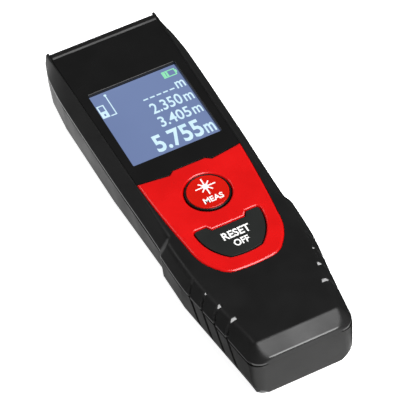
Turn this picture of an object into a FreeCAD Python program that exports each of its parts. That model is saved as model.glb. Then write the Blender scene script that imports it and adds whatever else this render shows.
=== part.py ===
import FreeCAD, Part

import math
import os

import Sketcher

# Laser distance meter.  Millimetres, X across, Y towards the laser end, Z up.
# The origin is under the middle of the casing, on the surface that it rests on.

doc = FreeCAD.newDocument("LaserMeter")
sheet = doc.addObject("Spreadsheet::Sheet", "D")

DIMENSIONS = {
    # casing
    "height": 22, "parting": 17.2, "lip": 0.5, "wall": 1.8, "top_skin": 2.2, "belly_skin": 1.6,
    "belly_round": 1.5, "plate": 1.0, "edge": 0.22, "bezel_edge": 0.12, "bezel_front_x": 16.3, "gap": 0.15,
    "seam_depth": 0.45, "seam_height": 0.22, "top_round": 0.5, "blend": 0.14, "foot_round": 1.0,
    "heel_radius": 3.5,
    # front cap
    "cap_back": 57.3, "cap_front": 59.6, "cap_half": 15.9, "cap_waist": 9.8, "cap_low_half": 12.2,
    "cap_foot": 2.3, "cap_top": 22.3, "cap_edge": 0.4, "cap_slack": 0.05, "cap_seat": 0.7,
    "cap_seat_deep": 1.0,
    # grip grooves, and the thumb slots of the battery door
    "groove_first": -30.2, "groove_pitch": 5.5, "groove_width": 1.3, "groove_depth": 0.9,
    "groove_lean": 22.8, "groove_long": 15,
    "slot_half": 6, "slot_first": 4, "slot_pitch": 1.6, "slot_width": 0.8, "slot_depth": 0.5,
    # screen and its parts
    "screen_half": 13.1, "screen_low": 11.55, "screen_high": 40.55, "skin_under": 19.8,
    "glass_top": 20.9, "glass_gap": 0.1, "lcd_half": 14.6, "lcd_low": 8.5, "lcd_high": 43.5,
    "lcd_under": 18.3, "light_under": 16.6, "frame_wall": 1.0, "frame_window": 9, "frame_ledge": 5,
    "ribbon_half": 5, "ribbon_thick": 0.2, "ribbon_hang": 1.5, "ribbon_run": 6, "ribbon_grip": 0.6,
    # keypad panel outline
    "panel_top": 22.25, "corner_x": 15.35, "corner_y": 5.15, "notch_x": 6.3, "notch_y": 3.95,
    "bump_x": 4.8, "bump_y": 5.05, "flank_x": 13.1, "flank_y": -21.25, "tail_x": 9.2, "tail_y": -31.0,
    "toe_x": 5.5, "toe_y": -33.35, "flank_r": 330, "thigh_r": 15.5, "tail_r": 5.5, "toe_r": 42,
    # clear key outline
    "dip_x": 4.9, "dip_y": -18.35, "ear_in_x": 5.9, "ear_y": -16.8, "ear_x": 8.6, "ear_side_x": 9.35,
    "ear_side_y": -17.6, "ear_r": 0.85, "clear_low_x": 4.4, "clear_low_y": -28.35, "clear_side_r": 14,
    "clear_low_r": 19,
    # keys
    "key_y": -6.25, "key_hole": 6.55, "key_radius": 6.2, "key_top": 22.5, "key_edge": 0.5,
    "clear_stem_y": -22.6, "clear_top": 22.05, "clear_edge": 0.2, "key_gap": 0.3,
    "flange": 0.9, "flange_top": 19.4, "flange_under": 18.6, "stem_radius": 1.6,
    # circuit board and what it carries
    "board_half": 11.7, "board_low": -34, "board_high": 38, "board_under": 14.2, "board_top": 15.2,
    "switch_half": 3, "switch_top": 16.6, "plunger_radius": 1.2, "plunger_top": 17.3, "plunger_under": 16.0,
    "plunger_slack": 0.05, "buzzer_x": -3, "buzzer_y": 17, "buzzer_radius": 5.5, "buzzer_deep": 3,
    "buzzer_hole": 0.8, "chip_x": 6.9, "chip_y": 13.5, "chip_half": 3.5, "chip_deep": 1.1,
    "shield_x": -2, "shield_y": -1.8, "shield_wide": 6, "shield_long": 4.2, "shield_deep": 1.6,
    "socket_half": 5.5, "socket_long": 3.5,
    # battery bay
    "cell_radius": 5.25, "cell_x": 5.45, "cell_height": 7.15, "cell_low": -54.9, "cell_high": -11.6,
    "nub_high": -10.4, "nub_radius": 1.9, "holder_half": 12.1, "holder_inner": 11.2, "holder_low": -57.9,
    "holder_high": -8.7, "holder_end": 0.9, "holder_under": 12.55, "holder_top": 13.25, "holder_foot": 7.0,
    "holder_hole": 1.7, "holder_notch": 2.6,
    "door_top": 6.3, "door_low": -58.4, "door_high": -9.4, "door_gap": 0.2, "contact": 0.3,
    "tongue_long": 0.8, "tongue_root": 1.2, "tongue_top": 6.8, "tongue_half": 9.5, "tongue_low": 3.0,
    "contact_half": 3.2, "leaf_radius": 3.05, "leaf_thick": 0.25, "leaf_width": 4.2, "leaf_gap": 0.05,
    # optics
    "laser_x": -8.8, "laser_z": 9.0, "laser_hole": 2.6, "barrel_radius": 3.5, "barrel_low": 40,
    "barrel_high": 55, "barrel_slack": 0.02, "barrel_light": 2.0, "collimator_radius": 2.6,
    "collimator_seat": 3, "collimator_thick": 1.8, "diode_base": 2.8, "diode_seat": 2.5,
    "diode_flange": 1.2, "diode_can": 1.9, "diode_front": 4, "lead_radius": 0.23, "lead_long": 3,
    "lens_x": 4.2, "lens_z": 10.5, "lens_hole": 5.8, "lens_radius": 6.3, "lens_low": 54.8,
    "lens_high": 57.0, "lens_ball": 24,
    "optics_half": 12.9, "optics_low": 44.8, "optics_high": 57.1, "optics_under": 2.6, "optics_top": 17.6,
    "tunnel_low": 29.5, "tunnel_z": 8.0, "tunnel_radius": 5.0, "tunnel_wall": 1.2, "tunnel_end": 2.2,
    "tail_top": 12.4, "sensor_half": 6, "sensor_thick": 0.8, "sensor_under": 3.1, "sensor_top": 11.2,
    "photodiode_radius": 2.1, "photodiode_long": 1.6,
    # screws and their posts
    "post_front_x": 10.6, "post_front_y": 5.0, "post_rear_x": 14.1, "post_rear_y": -12,
    "post_radius": 2.1, "post_split": 12.2, "post_notch": 2.6, "post_root": 19.9,
    "screw_hole": 1.0, "screw_radius": 0.97, "head_radius": 1.8, "head_high": 1.3, "head_top": 3.2,
    "head_slack": 0.2, "screw_tip": 16.6, "door_screw_foot": 7.0,
    "boss_front_x": 5.0, "boss_front_y": 4.6, "boss_rear_x": 9.8, "boss_rear_y": -31.8,
    "boss_radius": 1.8, "boss_hole": 0.75, "board_screw": 0.73, "board_head": 1.4,
    "board_head_high": 0.8, "board_screw_tip": 18.2,
    "cross_share": 0.55, "cross_half": 0.2, "cross_deep": 0.5,
}

# Spans, across and along, that are wider than the casing.
ACROSS, ALONG = ("-30", "30"), ("-70", "70")

# Cross-sections from the laser end to the heel: position along Y, half-width of the flat top,
# half-width at the parting line, half-width and height of the side wall's foot, half-width of
# the belly, how far the top has dropped, and how far the belly has risen.
SECTION_FIELDS = ("y", "flat", "seam", "side", "foot", "belly", "drop", "lift")
SECTIONS = {
    "nose": (60.3, 16.7, 17.3, 17.2, 9.6, 13.0, 0, 0),
    "brow": (54.0, 16.6, 18.9, 18.7, 8.2, 14.2, 0, 0),
    "shoulder": (44.0, 16.3, 19.5, 19.3, 7.4, 14.5, 0, 0),
    "middle": (14.0, 15.8, 19.1, 18.9, 7.2, 14.5, 0, 0),
    "waist": (-14.4, 15.5, 18.4, 18.2, 9.8, 14.0, 0, 0),
    "step": (-17.0, 16.9, 19.2, 19.0, 9.2, 14.4, 0, 0),
    "palm": (-27.5, 16.5, 18.9, 18.7, 8.8, 14.2, 0, 0),
    "hip": (-43.0, 14.5, 16.8, 16.6, 8.7, 12.9, 0, 0),
    "crest": (-56.1, 12.0, 15.05, 14.85, 8.9, 12.2, 0, 0),
    "heel": (-60.3, 11.7, 14.5, 14.3, 9.4, 12.0, 2.9, 5.5),
}


def fill_sheet():
    """Write every driving dimension to the sheet, one row each, with its alias."""
    rows = dict(DIMENSIONS)
    for station, values in SECTIONS.items():
        rows.update({f"{station}_{field}": value for field, value in zip(SECTION_FIELDS, values)})
    for row, (alias, value) in enumerate(rows.items(), start=1):
        sheet.set(f"A{row}", alias)
        sheet.set(f"B{row}", str(value))
        sheet.setAlias(f"B{row}", alias)
    doc.recompute()
    return rows


size = fill_sheet()


# ---- helpers -------------------------------------------------------------------------------

def bind(item, **expressions):
    """Bind properties to sheet expressions; a double underscore stands for a dot."""
    for name, expression in expressions.items():
        item.setExpression(name.replace("__", "."), expression)
    return item


def place(item, x="0", y="0", z="0"):
    """Bind an item's position."""
    return bind(item, Placement__Base__x=x, Placement__Base__y=y, Placement__Base__z=z)


def turn(item, axis, degrees):
    """Turn an item about its own origin."""
    item.Placement = FreeCAD.Placement(FreeCAD.Vector(), FreeCAD.Rotation(FreeCAD.Vector(*axis), degrees))
    return item


def block(name, x, y, z):
    """Box between three pairs of expressions."""
    item = doc.addObject("Part::Box", name)
    bind(item, Length=f"({x[1]}) - ({x[0]})", Width=f"({y[1]}) - ({y[0]})", Height=f"({z[1]}) - ({z[0]})")
    return place(item, x[0], y[0], z[0])


def upright(name, radius, x, y, z):
    """Cylinder standing along Z."""
    item = doc.addObject("Part::Cylinder", name)
    bind(item, Radius=radius, Height=f"({z[1]}) - ({z[0]})")
    return place(item, x, y, z[0])


def along(name, radius, x, y, z):
    """Cylinder lying along Y."""
    item = turn(doc.addObject("Part::Cylinder", name), (1, 0, 0), -90)
    bind(item, Radius=radius, Height=f"({y[1]}) - ({y[0]})")
    return place(item, x, y[0], z)


def join(name, *items):
    """Fuse items into one solid."""
    result = doc.addObject("Part::MultiFuse", name)
    result.Shapes = list(items)
    return result


def overlap(name, *items):
    """Keep what all the items share."""
    result = doc.addObject("Part::MultiCommon", name)
    result.Shapes = list(items)
    return result


def group(name, *items):
    """Separate solids kept together in one object."""
    result = doc.addObject("Part::Compound", name)
    result.Links = list(items)
    return result


def trim(name, base, *tools):
    """Cut tools from a base."""
    result = doc.addObject("Part::Cut", name)
    result.Base = base
    result.Tool = tools[0] if len(tools) == 1 else join(name + "_tools", *tools)
    return result


def value_of(term):
    """Number behind an alias that may carry a minus sign."""
    return -size[term[1:]] if term.startswith("-") else size[term]


def expression_of(term):
    """Sheet expression for an alias that may carry a minus sign."""
    return "-D." + term[1:] if term.startswith("-") else "D." + term


def fix_corners(sketch, corners, start):
    """Chain a sketch's edges end to end and bind each corner to its pair of expressions."""
    for index, corner in enumerate(corners):
        sketch.addConstraint(Sketcher.Constraint("Coincident", (index - 1) % len(corners), 2, index, 1))
    for index, corner in enumerate(corners):
        for kind, expression, value in zip(("DistanceX", "DistanceY"), corner, start[index]):
            tag = sketch.addConstraint(Sketcher.Constraint(kind, -1, 1, index, 1, value))
            sketch.setExpression(f"Constraints[{tag}]", expression)


def origin_plane(body, role):
    """A body's own origin plane, by role."""
    return next(item for item in body.Origin.OriginFeatures if item.Role == role)


def new_sketch(body, name, role, offset="0"):
    """Sketch on one of a body's origin planes."""
    sketch = body.newObject("Sketcher::SketchObject", name)
    sketch.AttachmentSupport = [(origin_plane(body, role), "")]
    sketch.MapMode = "FlatFace"
    sketch.setExpression("AttachmentOffset.Base.z", offset)
    return sketch


def section_sketch(body, name, offset, corners):
    """Polygon across the casing; the corners' places come from expressions alone."""
    sketch = new_sketch(body, name, "XZ_Plane", offset)
    count = len(corners)
    ring = [2 * math.pi * (0.25 - (index + 0.5) / count) for index in range(count)]
    start = [FreeCAD.Vector(15 * math.cos(angle), 11 + 11 * math.sin(angle), 0) for angle in ring]
    for index in range(count):
        sketch.addGeometry(Part.LineSegment(start[index], start[(index + 1) % count]), False)
    fix_corners(sketch, corners, start)
    return sketch


def outline_sketch(body, name, corners):
    """Outline seen from above, listed anticlockwise: (x, y, radius), where the radius is that of
    the arc from this corner to the next, bulging outwards, or None for a straight edge."""
    sketch = new_sketch(body, name, "XY_Plane")
    start = [FreeCAD.Vector(value_of(x), value_of(y), 0) for x, y, radius in corners]
    for index, (x, y, radius) in enumerate(corners):
        first, last = start[index], start[(index + 1) % len(corners)]
        if radius is None:
            sketch.addGeometry(Part.LineSegment(first, last), False)
            continue
        chord = last - first
        outward = FreeCAD.Vector(chord.y, -chord.x, 0).normalize()
        sagitta = size[radius] - math.sqrt(size[radius] ** 2 - chord.Length ** 2 / 4)
        sketch.addGeometry(Part.Arc(first, (first + last) / 2 + outward * sagitta, last), False)
    fix_corners(sketch, [(expression_of(x), expression_of(y)) for x, y, radius in corners], start)
    for index, (x, y, radius) in enumerate(corners):
        if radius is not None:
            tag = sketch.addConstraint(Sketcher.Constraint("Radius", index, size[radius]))
            sketch.setExpression(f"Constraints[{tag}]", "D." + radius)
    return sketch


def prism(name, outline, z, grow=None):
    """Upright prism on an outline, which may first be offset by an expression."""
    base = outline
    if grow is not None:
        base = doc.addObject("Part::Offset2D", name + "_offset")
        base.Source = outline
        base.Join = "Arc"
        bind(base, Value=grow)
    item = doc.addObject("Part::Extrusion", name)
    item.Base = base
    item.DirMode = "Custom"
    item.Dir = FreeCAD.Vector(0, 0, 1)
    item.Solid = True
    bind(item, LengthFwd=f"({z[1]}) - ({z[0]})")
    return place(item, z=z[0])


def soften(name, base, height, radius, kind="Part::Fillet"):
    """Round or bevel every edge of a solid that lies at one height."""
    doc.recompute()
    chosen = [number for number, edge in enumerate(base.Shape.Edges, start=1)
              if all(abs(vertex.Z - height) < 1e-4 for vertex in edge.Vertexes)]
    result = doc.addObject(kind, name)
    result.Base = base
    result.Edges = [(number, radius, radius) for number in chosen]
    return result


# ---- casing form ---------------------------------------------------------------------------

def casing_loft(name, inset="0", top="0", belly="0"):
    """Closed form of the casing, or of the space inside it when inset from the outside."""
    body = doc.addObject("PartDesign::Body", name)
    sketches = []
    for station in SECTIONS:
        drop = f"D.{station}_drop"
        bevel = f"(D.height - {drop} - D.parting - D.lip)"
        spread = f"(D.{station}_seam - D.{station}_flat) * ({top}) / {bevel}"
        flat = f"D.{station}_flat - ({inset})" + ("" if station == "heel" else f" + {spread}")
        seam = f"D.{station}_seam - ({inset})"
        side = f"D.{station}_side - ({inset})"
        keel = f"D.{station}_belly - ({inset})"
        ceiling = f"D.height - {drop} - ({top})"
        bevel_foot = f"D.parting + D.lip - ({top}) * 0.5"
        keel_z = f"D.belly_round + D.{station}_lift + ({belly})"
        foot = f"D.{station}_foot"
        right = [
            (f"{flat} - D.top_round", ceiling),
            (f"{flat} + ({seam} - ({flat})) * D.blend",
             f"{ceiling} - ({ceiling} - ({bevel_foot})) * D.blend"),
            (seam, bevel_foot),
            (side, f"{foot} + D.foot_round"),
            (f"{side} + ({keel} - ({side})) * D.blend", f"{foot} - ({foot} - ({keel_z})) * D.blend"),
            (keel, keel_z),
            (f"{keel} - D.belly_round", f"D.{station}_lift + ({belly})"),
        ]
        left = [(f"-({x})", z) for x, z in reversed(right)]
        sketches.append(section_sketch(body, f"{name}_{station}", f"-D.{station}_y", right + left))
    loft = body.newObject("PartDesign::AdditiveLoft", name + "_loft")
    loft.Profile = sketches[0]
    loft.Sections = sketches[1:]
    loft.Ruled = True
    body.Tip = loft
    return body


def heel_corners():
    """Tools that round the two upright corners of the heel, tangent to the tapering sides."""
    taper = "atan((D.crest_seam - D.heel_seam) / (D.crest_y - D.heel_y))"
    centre_y = "D.heel_y + D.heel_radius"
    centre_x = f"D.heel_seam + D.heel_radius * tan({taper}) - D.heel_radius / cos({taper})"
    edge_y = f"{centre_y} - D.heel_radius * sin({taper})"
    tools = []
    for side, sign in (("right", ""), ("left", "-")):
        span = (centre_x, "20") if side == "right" else ("-20", f"-({centre_x})")
        corner = block(f"heel_corner_{side}", span, ("D.heel_y - 1", edge_y), ("-1", "D.height + 1"))
        core = upright(f"heel_core_{side}", "D.heel_radius", f"{sign}({centre_x})", centre_y,
                       ("-2", "D.height + 2"))
        tools.append(trim(f"heel_round_{side}", corner, core))
    return tools


def groove_tools(core):
    """Leaning slabs down the sides of the grip, kept outside the core of the casing."""
    slabs = []
    for index in range(4):
        slab = turn(doc.addObject("Part::Box", f"groove_slab_{index}"), (1, 0, 0), -size["groove_lean"])
        bind(slab, Length="50", Width="D.groove_width", Height="D.groove_long + 2")
        lean = "(D.groove_long * sin(D.groove_lean))"
        start = f"D.groove_first - {index} * D.groove_pitch - D.groove_width / 2 - {lean}"
        place(slab, "-25", start, "D.height - D.groove_long * cos(D.groove_lean)")
        slabs.append(slab)
    return trim("grooves", join("groove_slabs", *slabs), core)


outer = trim("casing_form", casing_loft("casing_body"), *heel_corners())
hollow = overlap("hollow", casing_loft("hollow_body", "D.wall", "D.top_skin", "D.belly_skin"),
                 block("hollow_reach", ACROSS, ("D.heel_y + D.wall", "D.nose_y + 1"), ("-1", "D.height")))
groove_core = casing_loft("groove_core", "D.groove_depth")
grooves = groove_tools(groove_core)
seam_core = casing_loft("seam_core", "D.seam_depth")
inner_limit = casing_loft("inner_limit", "D.wall + D.gap", "D.top_skin + D.gap", "D.belly_skin + D.gap")
tongue_limit = casing_loft("tongue_limit", "D.wall + 2 * D.gap", "D.top_skin + D.gap",
                           "D.belly_skin + 2 * D.gap")


def cap_prism(name, slack, y, top):
    """Front plate's form: upright sides, then tapering in step with the casing down to its foot."""
    body = doc.addObject("PartDesign::Body", f"{name}_outline")
    right = [(f"D.cap_half - {slack}", top), (f"D.cap_half - {slack}", "D.cap_waist"),
             (f"D.cap_low_half - {slack}", f"D.cap_foot + {slack}")]
    left = [(f"-({x})", z) for x, z in reversed(right)]
    sketch = section_sketch(body, f"{name}_section", "0", right + left)
    item = doc.addObject("Part::Extrusion", name)
    item.Base = sketch
    item.DirMode = "Custom"
    item.Dir = FreeCAD.Vector(0, 1, 0)
    item.Solid = True
    bind(item, LengthFwd=f"({y[1]}) - ({y[0]})")
    return place(item, y=y[0])


cap_space = cap_prism("cap_space", "0", ("D.cap_back", "D.nose_y + 2"), "D.height + 2")

layout = doc.addObject("PartDesign::Body", "layout")

panel_outline = outline_sketch(layout, "panel_outline", [
    ("-bump_x", "bump_y", None), ("-notch_x", "notch_y", None), ("-corner_x", "corner_y", "flank_r"),
    ("-flank_x", "flank_y", "thigh_r"), ("-tail_x", "tail_y", "tail_r"), ("-toe_x", "toe_y", "toe_r"),
    ("toe_x", "toe_y", "tail_r"), ("tail_x", "tail_y", "thigh_r"), ("flank_x", "flank_y", "flank_r"),
    ("corner_x", "corner_y", None), ("notch_x", "notch_y", None), ("bump_x", "bump_y", None),
])
clear_outline = outline_sketch(layout, "clear_outline", [
    ("-dip_x", "dip_y", None), ("-ear_in_x", "ear_y", None), ("-ear_x", "ear_y", "ear_r"),
    ("-ear_side_x", "ear_side_y", "clear_side_r"), ("-clear_low_x", "clear_low_y", "clear_low_r"),
    ("clear_low_x", "clear_low_y", "clear_side_r"), ("ear_side_x", "ear_side_y", "ear_r"),
    ("ear_x", "ear_y", None), ("ear_in_x", "ear_y", None), ("dip_x", "dip_y", None),
])
bezel_outline = outline_sketch(layout, "bezel_outline", [
    ("-bezel_front_x", "cap_back", None), ("-corner_x", "corner_y", None), ("-notch_x", "notch_y", None),
    ("-bump_x", "bump_y", None), ("bump_x", "bump_y", None), ("notch_x", "notch_y", None),
    ("corner_x", "corner_y", None), ("bezel_front_x", "cap_back", None),
])
screen_outline = outline_sketch(layout, "screen_outline", [
    ("-screen_half", "screen_high", None), ("-screen_half", "screen_low", None),
    ("screen_half", "screen_low", None), ("screen_half", "screen_high", None),
])


# ---- casing shells -------------------------------------------------------------------------

def screw_places():
    """The four case screws, as pairs of expressions."""
    return [(f"{sign}D.post_{end}_x", f"D.post_{end}_y") for end in ("front", "rear") for sign in ("", "-")]


def board_screw_places():
    """The four board screws, as pairs of expressions."""
    return [(f"{sign}D.boss_{end}_x", f"D.boss_{end}_y") for end in ("front", "rear") for sign in ("", "-")]


def make_upper_shell():
    """Top casing: flat top with a recess for the two plates, and the upper screw posts."""
    slab = block("upper_reach", ACROSS, ALONG, ("D.parting", "D.height + 1"))
    shell = trim("upper_walls", overlap("upper_form", outer, slab), hollow)
    posts, holes = [], []
    for index, (x, y) in enumerate(screw_places()):
        posts.append(upright(f"upper_post_{index}", "D.post_radius", x, y, ("D.post_split", "D.post_root")))
        holes.append(upright(f"upper_hole_{index}", "D.screw_hole", x, y,
                             ("D.post_split - 1", "D.screw_tip + 2 * D.gap")))
    for index, (x, y) in enumerate(board_screw_places()):
        posts.append(upright(f"board_boss_{index}", "D.boss_radius", x, y, ("D.board_top", "D.post_root")))
        holes.append(upright(f"boss_hole_{index}", "D.boss_hole", x, y,
                             ("D.board_top - 1", "D.skin_under - 1")))
    recess = ("D.height - D.plate", "D.height + 1")
    through = ("D.skin_under - 1", "D.height + 1")
    cuts = [
        prism("bezel_recess", bezel_outline, recess),
        prism("panel_recess", panel_outline, recess),
        prism("screen_opening", screen_outline, through),
        upright("measure_opening", "D.key_hole", "0", "D.key_y", through),
        prism("clear_opening", clear_outline, through, "D.key_gap"),
        cap_space, grooves,
    ]
    return trim("upper_shell", join("upper_solid", shell, *posts), *holes, *cuts)


def door_tongue():
    """Rim of the doorway's front end: it reaches behind the door's edge, so that no light passes."""
    doorway_y = "D.door_high + D.door_gap"
    high = ("-1", "D.tongue_top")
    root = overlap("tongue_root", hollow,
                   block("root_reach", ACROSS, (doorway_y, f"{doorway_y} + D.tongue_root"), high))
    tip = overlap("tongue_tip", tongue_limit,
                  block("tip_reach", ACROSS, ("D.door_high - D.tongue_long", f"{doorway_y} + 0.5"), high))
    space = block("tongue_space", ("-D.tongue_half", "D.tongue_half"), ALONG, ("D.tongue_low", "D.height"))
    return trim("door_tongue", join("tongue_solid", root, tip), space)


def make_lower_shell():
    """Lower casing: side walls, belly in front of the battery door, and the lower screw posts."""
    slab = block("lower_reach", ACROSS, ALONG, ("-1", "D.parting"))
    form = overlap("lower_form", outer, slab)
    shell = trim("lower_walls", form, hollow)
    posts, cuts = [], []
    for index, (x, y) in enumerate(screw_places()):
        in_front = index < 2
        foot = "D.belly_skin - 0.5" if in_front else "D.door_top + 2 * D.gap + 0.3"
        head = "D.head_top" if in_front else "D.door_screw_foot + D.head_high"
        posts.append(upright(f"lower_post_{index}", "D.post_radius + 2 * D.gap", x, y,
                             (foot, "D.post_split")))
        cuts.append(upright(f"lower_hole_{index}", "D.screw_hole + D.gap", x, y, ("-1", "D.post_split + 1")))
        cuts.append(upright(f"head_pocket_{index}", "D.head_radius + D.head_slack", x, y, ("-1", head)))
    posts = overlap("lower_posts", join("lower_post_set", *posts), form)
    doorway = block("doorway", ACROSS, ("D.door_low - D.door_gap", "D.door_high + D.door_gap"),
                    ("-1", "D.door_top + D.door_gap"))
    seam_band = block("seam_band", ACROSS, ALONG, ("D.parting - D.seam_height", "D.parting + 1"))
    seam = trim("seam", seam_band, seam_core)
    solid = trim("lower_open", join("lower_solid", shell, posts), *cuts, doorway, seam, cap_space, grooves)
    return join("lower_shell", solid, door_tongue())


def make_battery_door():
    """Snap-on cover that forms the belly of the grip, with thumb slots near its front edge."""
    reach = block("door_reach", ACROSS, ("D.door_low", "D.door_high"), ("-1", "D.door_top"))
    cover = trim("door_walls", overlap("door_form", outer, reach), hollow)
    slots = []
    for index in range(4):
        start = f"D.door_high - D.slot_first - {index} * D.slot_pitch"
        slots.append(block(f"door_slot_{index}", ("-D.slot_half", "D.slot_half"),
                           (start, f"{start} + D.slot_width"), ("-1", "D.slot_depth")))
    return trim("battery_door", cover, *slots)


def make_front_cap():
    """End plate with the laser hole and the receiver hole."""
    plate = cap_prism("cap_plate", "D.cap_slack", ("D.cap_back + D.cap_slack", "D.cap_front"), "D.cap_top")
    doc.recompute()
    edges = [number for number, edge in enumerate(plate.Shape.Edges, start=1)
             if all(abs(vertex.Z - size["cap_top"]) < 1e-4 for vertex in edge.Vertexes) and edge.Length > 10]
    bevelled = doc.addObject("Part::Chamfer", "cap_bevelled")
    bevelled.Base = plate
    bevelled.Edges = [(number, size["cap_edge"], size["cap_edge"]) for number in edges]
    span = ("D.cap_back - 1", "D.cap_front + 1")
    return trim("front_cap", bevelled,
                along("cap_laser_hole", "D.laser_hole", "D.laser_x", span, "D.laser_z"),
                along("cap_laser_seat", "D.laser_hole + D.cap_seat", "D.laser_x",
                      ("D.cap_back - 1", "D.cap_back + D.cap_seat_deep"), "D.laser_z"),
                along("cap_lens_hole", "D.lens_hole", "D.lens_x", span, "D.lens_z"))


def make_display_bezel():
    """Glossy plate round the screen."""
    plate = prism("bezel_plate", bezel_outline, ("D.height - D.plate", "D.height"))
    plate = soften("bezel_rounded", plate, size["height"], size["bezel_edge"])
    window = prism("bezel_window", screen_outline, ("D.height - 3", "D.height + 1"))
    return trim("display_bezel", plate, window)


def make_keypad_panel():
    """Red plate with the two key openings and a rounded upper edge."""
    plate = prism("panel_plate", panel_outline, ("D.height - D.plate", "D.panel_top"))
    rounded = soften("panel_rounded", plate, size["panel_top"], size["edge"])
    span = ("D.height - 3", "D.panel_top + 1")
    return trim("keypad_panel", rounded, upright("panel_measure_hole", "D.key_hole", "0", "D.key_y", span),
                prism("panel_clear_hole", clear_outline, span, "D.key_gap"))


def make_measure_button():
    """Round key: domed cap, retaining flange and stem."""
    centre = ("0", "D.key_y")
    cap = upright("measure_cap", "D.key_radius", *centre, ("D.flange_under", "D.key_top"))
    cap = soften("measure_cap_round", cap, size["key_top"], size["key_edge"])
    flange = upright("measure_flange", "D.key_radius + D.flange", *centre,
                     ("D.flange_under", "D.flange_top"))
    stem = upright("measure_stem", "D.stem_radius", *centre, ("D.plunger_top", "D.flange_under + 0.1"))
    return join("measure_button", cap, flange, stem)


def make_clear_button():
    """Eared key with its flange and stem."""
    cap = prism("clear_cap", clear_outline, ("D.flange_under", "D.clear_top"))
    cap = soften("clear_cap_round", cap, size["clear_top"], size["clear_edge"])
    flange = prism("clear_flange", clear_outline, ("D.flange_under", "D.flange_top"), "D.flange")
    stem = upright("clear_stem", "D.stem_radius", "0", "D.clear_stem_y",
                   ("D.plunger_top", "D.flange_under + 0.1"))
    return join("clear_button", cap, flange, stem)


# ---- electronics ---------------------------------------------------------------------------

def make_switch(name, y):
    """Push-switch body with a bore for its plunger."""
    case = block(f"{name}_case", ("-D.switch_half", "D.switch_half"),
                 (f"{y} - D.switch_half", f"{y} + D.switch_half"), ("D.board_top", "D.switch_top"))
    return trim(name, case, upright(f"{name}_bore", "D.plunger_radius + D.plunger_slack", "0", y,
                                    ("D.board_top + 0.1", "D.switch_top + 1")))


def make_plunger(name, y):
    """Plunger of a push-switch."""
    return upright(name, "D.plunger_radius", "0", y, ("D.plunger_under", "D.plunger_top"))


def make_main_board():
    """Circuit board with four screw holes and a notch round each front post."""
    board = block("board_sheet", ("-D.board_half", "D.board_half"), ("D.board_low", "D.board_high"),
                  ("D.board_under", "D.board_top"))
    through = ("D.board_under - 1", "D.board_top + 1")
    holes = [upright(f"board_hole_{index}", "D.boss_hole + 0.1", x, y, through)
             for index, (x, y) in enumerate(board_screw_places())]
    notches = [upright(f"board_notch_{index}", "D.post_notch", x, y, through)
               for index, (x, y) in enumerate(screw_places()[:2])]
    return trim("main_board", board, *holes, *notches)


def hung(name, x, y, thickness):
    """Component soldered under the board."""
    return block(name, x, y, (f"D.board_under - {thickness}", "D.board_under"))


def make_hung_parts():
    """Processor, tin shield and ribbon socket, all under the board."""
    chip = hung("processor_chip", ("D.chip_x - D.chip_half", "D.chip_x + D.chip_half"),
                ("D.chip_y - D.chip_half", "D.chip_y + D.chip_half"), "D.chip_deep")
    shield = hung("board_shield", ("D.shield_x - D.shield_wide", "D.shield_x + D.shield_wide"),
                  ("D.shield_y - D.shield_long", "D.shield_y + D.shield_long"), "D.shield_deep")
    socket_high = "D.board_high - D.ribbon_run"
    socket = hung("ribbon_socket", ("-D.socket_half", "D.socket_half"),
                  (f"{socket_high} - D.socket_long", socket_high), "D.shield_deep")
    return chip, shield, socket


def make_buzzer():
    """Round buzzer with its sound hole, under the board."""
    centre = ("D.buzzer_x", "D.buzzer_y")
    foot = "D.board_under - D.buzzer_deep"
    case = upright("buzzer_case", "D.buzzer_radius", *centre, (foot, "D.board_under"))
    hole = upright("buzzer_bore", "D.buzzer_hole", *centre, (f"{foot} - 1", "D.board_under - 1"))
    return trim("buzzer", case, hole)


def make_display_parts():
    """Screen glass with its raised face, its light guide, and the frame that carries both."""
    x = ("-D.lcd_half", "D.lcd_half")
    y = ("D.lcd_low", "D.lcd_high")
    inner_x = ("-D.lcd_half + D.frame_wall", "D.lcd_half - D.frame_wall")
    inner_y = ("D.lcd_low + D.frame_wall", "D.lcd_high - D.frame_wall")
    base = block("lcd_base", x, y, ("D.lcd_under", "D.skin_under"))
    face = block("lcd_face", ("-D.screen_half + D.glass_gap", "D.screen_half - D.glass_gap"),
                 ("D.screen_low + D.glass_gap", "D.screen_high - D.glass_gap"),
                 ("D.lcd_under", "D.glass_top"))
    light = block("backlight", inner_x, inner_y, ("D.light_under", "D.lcd_under"))
    frame = block("frame_block", x, y, ("D.board_top", "D.lcd_under"))
    inner = block("frame_space", inner_x, inner_y, ("D.light_under", "D.lcd_under + 1"))
    window = block("frame_opening", ("-D.frame_window", "D.frame_window"),
                   ("D.lcd_low + D.frame_ledge", "D.board_high - D.frame_ledge"),
                   ("D.board_top - 1", "D.light_under + 1"))
    return join("lcd_panel", base, face), light, trim("display_frame", frame, inner, window)


def make_display_ribbon():
    """Flat flex that folds from the screen's edge down round the board's end to its underside."""
    width = ("-D.ribbon_half", "D.ribbon_half")
    low = "D.board_under - D.ribbon_hang"
    outside = "D.lcd_high + D.ribbon_thick"
    drop = block("ribbon_drop", width, ("D.lcd_high", outside), (low, "D.lcd_under + D.ribbon_grip"))
    run = block("ribbon_under", width, ("D.board_high - D.ribbon_run", outside),
                (low, f"{low} + D.ribbon_thick"))
    return join("display_ribbon", drop, run)


# ---- power ---------------------------------------------------------------------------------

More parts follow.
